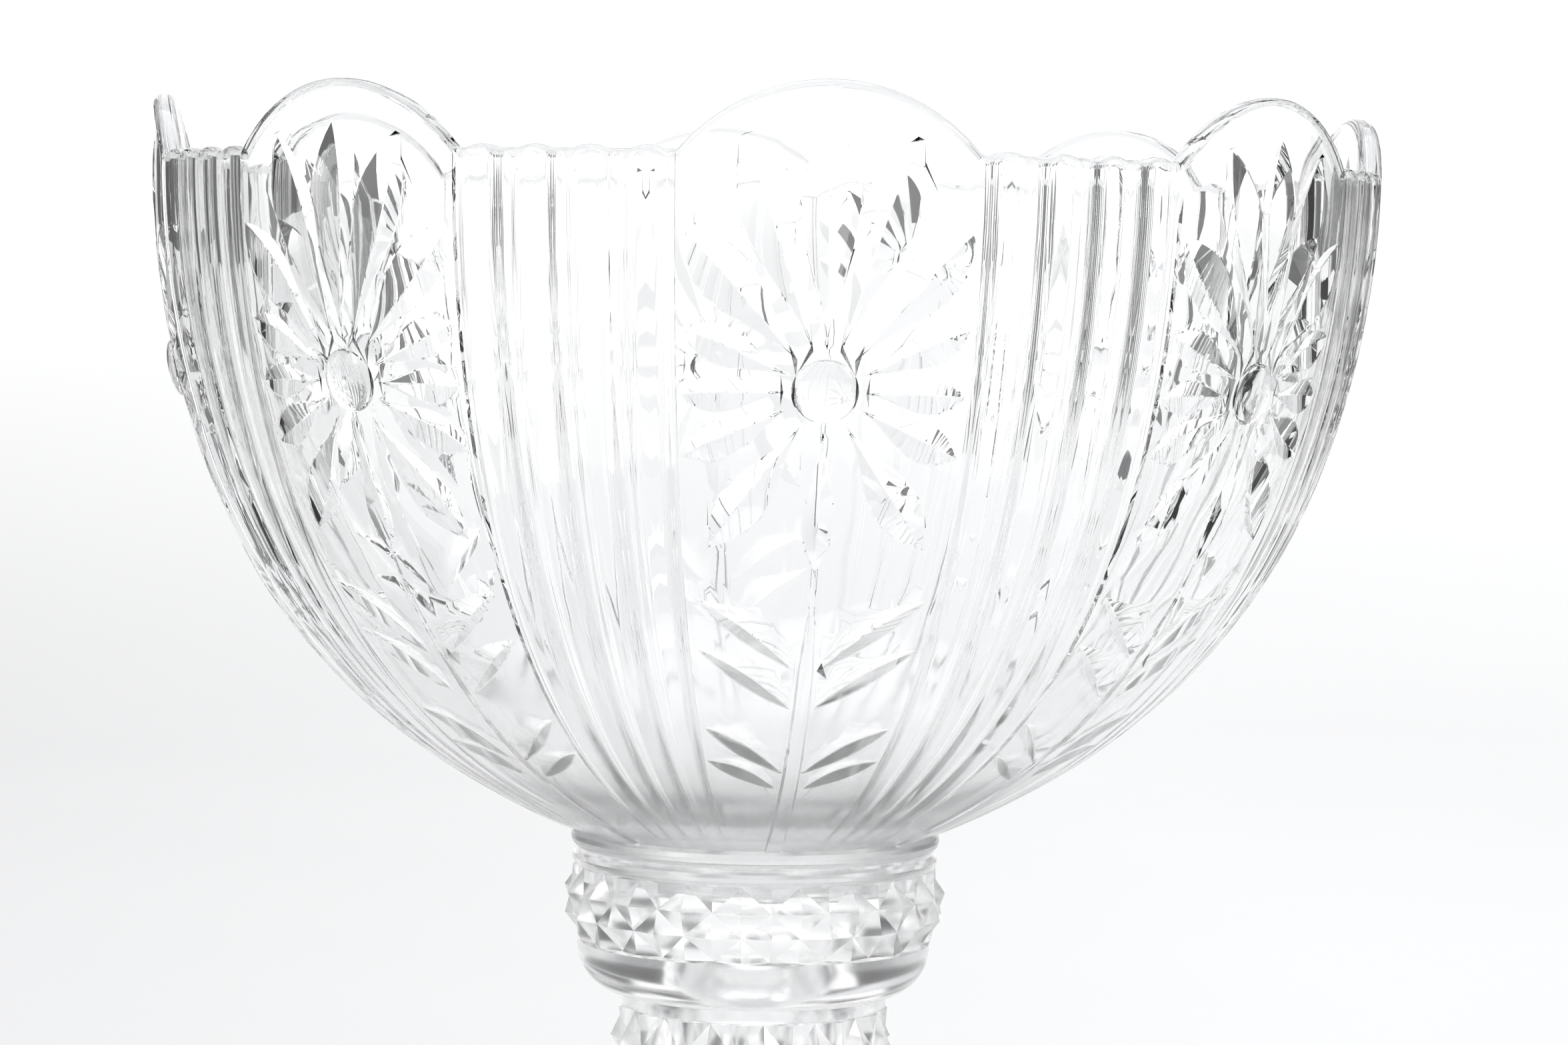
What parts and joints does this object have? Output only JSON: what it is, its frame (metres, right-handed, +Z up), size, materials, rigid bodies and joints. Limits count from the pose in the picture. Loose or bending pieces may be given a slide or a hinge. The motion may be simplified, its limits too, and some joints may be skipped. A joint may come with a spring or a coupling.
{
  "type": "punch bowl on stand",
  "caption": "Footed pressed-glass punch bowl: a deep scalloped bowl cut with flowers and ribs, seated by a ring in the socket of a flared stand.",
  "frame": {"origin": "centre of the stand's underside, in the plane of the table it stands on", "axes": "+Z up along the common axis of bowl and stand; -Y faces one of the bowl's flower panels"},
  "size_m": [0.304, 0.304, 0.3256],
  "materials": {
    "bowl_glass": "clear pressed glass, fire polished",
    "stand_glass": "clear pressed glass, fire polished"
  },
  "bodies": {
    "stand": {"stand": "stand_glass"},
    "bowl": {"bowl": "bowl_glass"}
  },
  "joints": [
    {"name": "bowl_lift_off", "type": "slide", "parent": "stand", "child": "bowl", "axis": [0, 0, 1], "range_m": [0, 0.12]}
  ]
}
